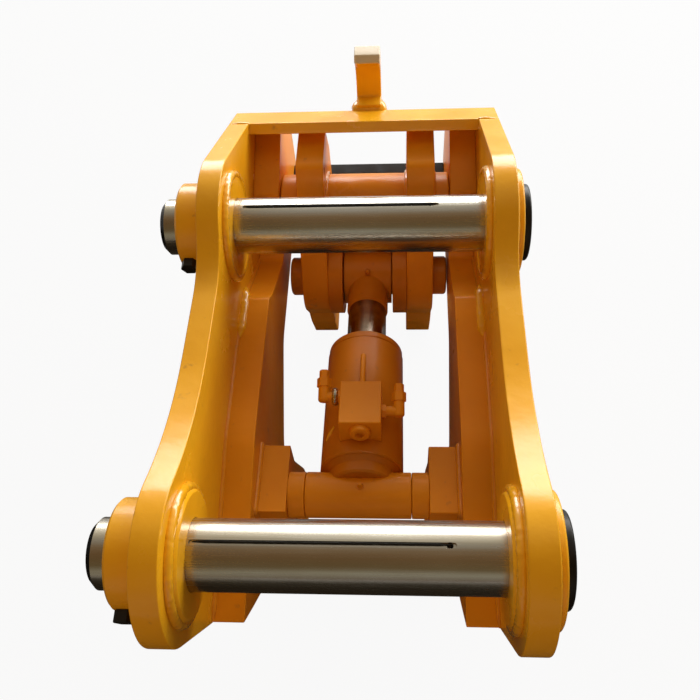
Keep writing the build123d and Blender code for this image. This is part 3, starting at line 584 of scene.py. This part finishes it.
for side, sign in (("left", -1), ("right", 1)):
    inner, seam, wide, block, hub = (welds[kind] for kind in ("innerRing", "earSeam", "wide", "block", "hub"))
    for end, centre in welds["pins"].items():
        ringBead(f"{side}_{end}_ring_weld", sign * inner["x"], centre, inner["radius"], "frame", inner["thick"])
    lineBead(f"{side}_ear_seam", sideLine(seam, sign), "frame", 1.0, shadedInnerBeadPaint)
    lineBead(f"{side}_wide_weld", sideLine(wide, sign), "frame", wide["thick"])
    lineBead(f"{side}_block_weld", sideLine(block, sign), "frame", block["thick"], shadedInnerBeadPaint)
    for face in ("inner", "outer"):
        x = sign * hub[face] + hub["middle"]
        ringBead(f"{side}_hub_weld_{face}", x, hub["pivot"], hub["radius"], "hook", 1.0, shadedInnerBeadPaint)
for end, centre in welds["pins"].items():
    outer, collar = welds["outerRing"], welds["collar"]
    ringBead(f"{end}_outer_ring_weld", outer["x"], centre, outer["radius"], "frame")
    ringBead(f"{end}_collar_weld", collar["x"], centre, collar["radius"], "frame", collar["thick"])
washer = welds["washer"]
ringBead("left_port_washer", washer["x"], washer["centre"], washer["radius"], "cylinder", washer["thick"],
         finishes["pin_steel"])
lineBead("barrel_weld_bar", welds["bar"]["line"], "cylinder", welds["bar"]["thick"])
for end in ("arm", "link"):
    y, start, stop = grooveShade[end]
    groove = [(x, y, grooveShade["z"]) for x in (start, stop)]
    lineBead(f"{end}_groove_shade", groove, "frame", grooveShade["thick"], grooveShadeLine)
for side, sign in (("left", -1), ("right", 1)):
    corner = [(sign * x, y, z) for x, y, z in welds["deck"]["line"]]
    lineBead(f"{side}_deck_weld", corner, "frame", welds["deck"]["thick"])
foot = welds["foot"]
lineBead("lifting_hook_weld", [(x, y, foot["z"]) for x, y in foot["line"]], "frame", foot["thick"])
print("weld beads laid")


# Floor, studio and lamps

stage = {
    "floorSize": 16,
    "floorColour": (0.34, 0.33, 0.31, 1),
    "floorRoughness": 0.9,
    "floorGlow": 0.93,                        # share of plain white that the background shows
    "mirroredGlow": 0.28,                     # the same for reflections
    "cardSize": 4,
    "cardPlace": (0, -1.2, 0.002),            # above the floor
    "cardColour": (0.02, 0.018, 0.015, 1),
    "brightest": (0, 0.985, 0.174),           # the studio wall behind the coupler is the bright one
    "worldStrength": 1.9,
    "backdropColour": (0.97, 0.97, 0.97, 1),
}
# Brightness of the studio from the front wall, over the ceiling, to the back wall
studio = (
    (0.00, (0.07, 0.045, 0.03)),
    (0.06, (0.20, 0.19, 0.15)),
    (0.14, (0.085, 0.06, 0.028)),
    (0.42, (0.10, 0.058, 0.026)),
    (0.58, (0.135, 0.09, 0.048)),
    (0.73, (0.19, 0.175, 0.15)),
    (0.86, (0.30, 0.27, 0.21)),
    (0.93, (0.55, 0.52, 0.45)),
    (0.985, (1.0, 0.97, 0.92)),
)

floorZ = cadBox[0][2]
bpy.ops.mesh.primitive_plane_add(size=stage["floorSize"], location=(0, 0, floorZ))
floor = bpy.context.object
floor.name = "paleFloor"
floorPaint, tree, shader, _ = startMaterial("paleFloor")
shader.inputs["Base Color"].default_value = stage["floorColour"]
shader.inputs["Roughness"].default_value = stage["floorRoughness"]
glow = tree.nodes.new("ShaderNodeEmission")
path = tree.nodes.new("ShaderNodeLightPath")
mirrored = addMath(tree, "ADD", path.outputs["Is Glossy Ray"], path.outputs["Is Transmission Ray"])
seen = addMath(tree, "MULTIPLY", path.outputs["Is Camera Ray"], stage["floorGlow"])
mirrored = addMath(tree, "MULTIPLY", mirrored, stage["mirroredGlow"])
mix = tree.nodes.new("ShaderNodeMixShader")
tree.links.new(addMath(tree, "ADD", seen, mirrored), mix.inputs[0])
tree.links.new(shader.outputs[0], mix.inputs[1])
tree.links.new(glow.outputs[0], mix.inputs[2])
tree.links.new(mix.outputs[0], tree.nodes["Material Output"].inputs["Surface"])
floor.data.materials.append(floorPaint)

# A dark card lies in front, where the pins would mirror the floor; only reflections show it
x, y, above = stage["cardPlace"]
bpy.ops.mesh.primitive_plane_add(size=stage["cardSize"], location=(x, y, floorZ + above))
card = bpy.context.object
card.name = "darkCard"
cardPaint, tree, shader, _ = startMaterial("darkCard")
shader.inputs["Base Color"].default_value = stage["cardColour"]
card.data.materials.append(cardPaint)
card.visible_camera = False
card.visible_diffuse = False
card.visible_shadow = False

# The studio lights the part by direction; the camera itself sees a plain pale backdrop past the floor
world = bpy.data.worlds.new("studio")
bpy.context.scene.world = world
world.use_nodes = True
tree = world.node_tree
facing = tree.nodes.new("ShaderNodeVectorMath")
facing.operation = "DOT_PRODUCT"
facing.inputs[1].default_value = stage["brightest"]
tree.links.new(tree.nodes.new("ShaderNodeTexCoord").outputs["Generated"], facing.inputs[0])
share = tree.nodes.new("ShaderNodeMapRange")
share.inputs["From Min"].default_value = -1
tree.links.new(facing.outputs["Value"], share.inputs["Value"])
light = tree.nodes["Background"]
tree.links.new(addRamp(tree, share.outputs["Result"], studio), light.inputs["Color"])
light.inputs["Strength"].default_value = stage["worldStrength"]
backdrop = tree.nodes.new("ShaderNodeBackground")
backdrop.inputs["Color"].default_value = stage["backdropColour"]
mix = tree.nodes.new("ShaderNodeMixShader")
tree.links.new(tree.nodes.new("ShaderNodeLightPath").outputs["Is Camera Ray"], mix.inputs[0])
tree.links.new(light.outputs[0], mix.inputs[1])
tree.links.new(backdrop.outputs[0], mix.inputs[2])
tree.links.new(mix.outputs[0], tree.nodes["World Output"].inputs["Surface"])

lamps = {
    "backPanel": {"place": (0.6, 2.2, 0.68), "size": (3.8, 1.0), "power": 74, "mirrored": True},
    "topPanel": {"place": (0.2, 0.5, 2.2), "size": (1.2, 1.2), "power": 4, "mirrored": False,
                 "colour": (1, 0.85, 0.66)},
    "sidePanel": {"place": (2.4, 1.0, 0.26), "size": (1.2, 0.4), "power": 20, "mirrored": False},
    "frontPanel": {"place": (-0.3, -2.0, 1.6), "size": (1.6, 0.8), "power": 10, "mirrored": False,
                   "colour": (1, 0.60, 0.32)},
}
lampTarget = (0, 0.25, -0.1)


def addLamp(name, values):
    bpy.ops.object.light_add(type="AREA", location=values["place"])
    lamp = bpy.context.object
    lamp.name = name
    lamp.data.shape = "RECTANGLE"
    lamp.data.size, lamp.data.size_y = values["size"]
    lamp.data.energy = values["power"]
    lamp.data.color = values.get("colour", (1, 1, 1))
    away = [p - t for p, t in zip(values["place"], lampTarget)]
    flat = math.hypot(away[0], away[1])
    lamp.rotation_euler = (math.atan2(flat, away[2]), 0, math.atan2(away[1], away[0]) + math.pi / 2)
    lamp.visible_camera = False
    lamp.visible_glossy = values["mirrored"]


for name, values in lamps.items():
    addLamp(name, values)
print("stage set")
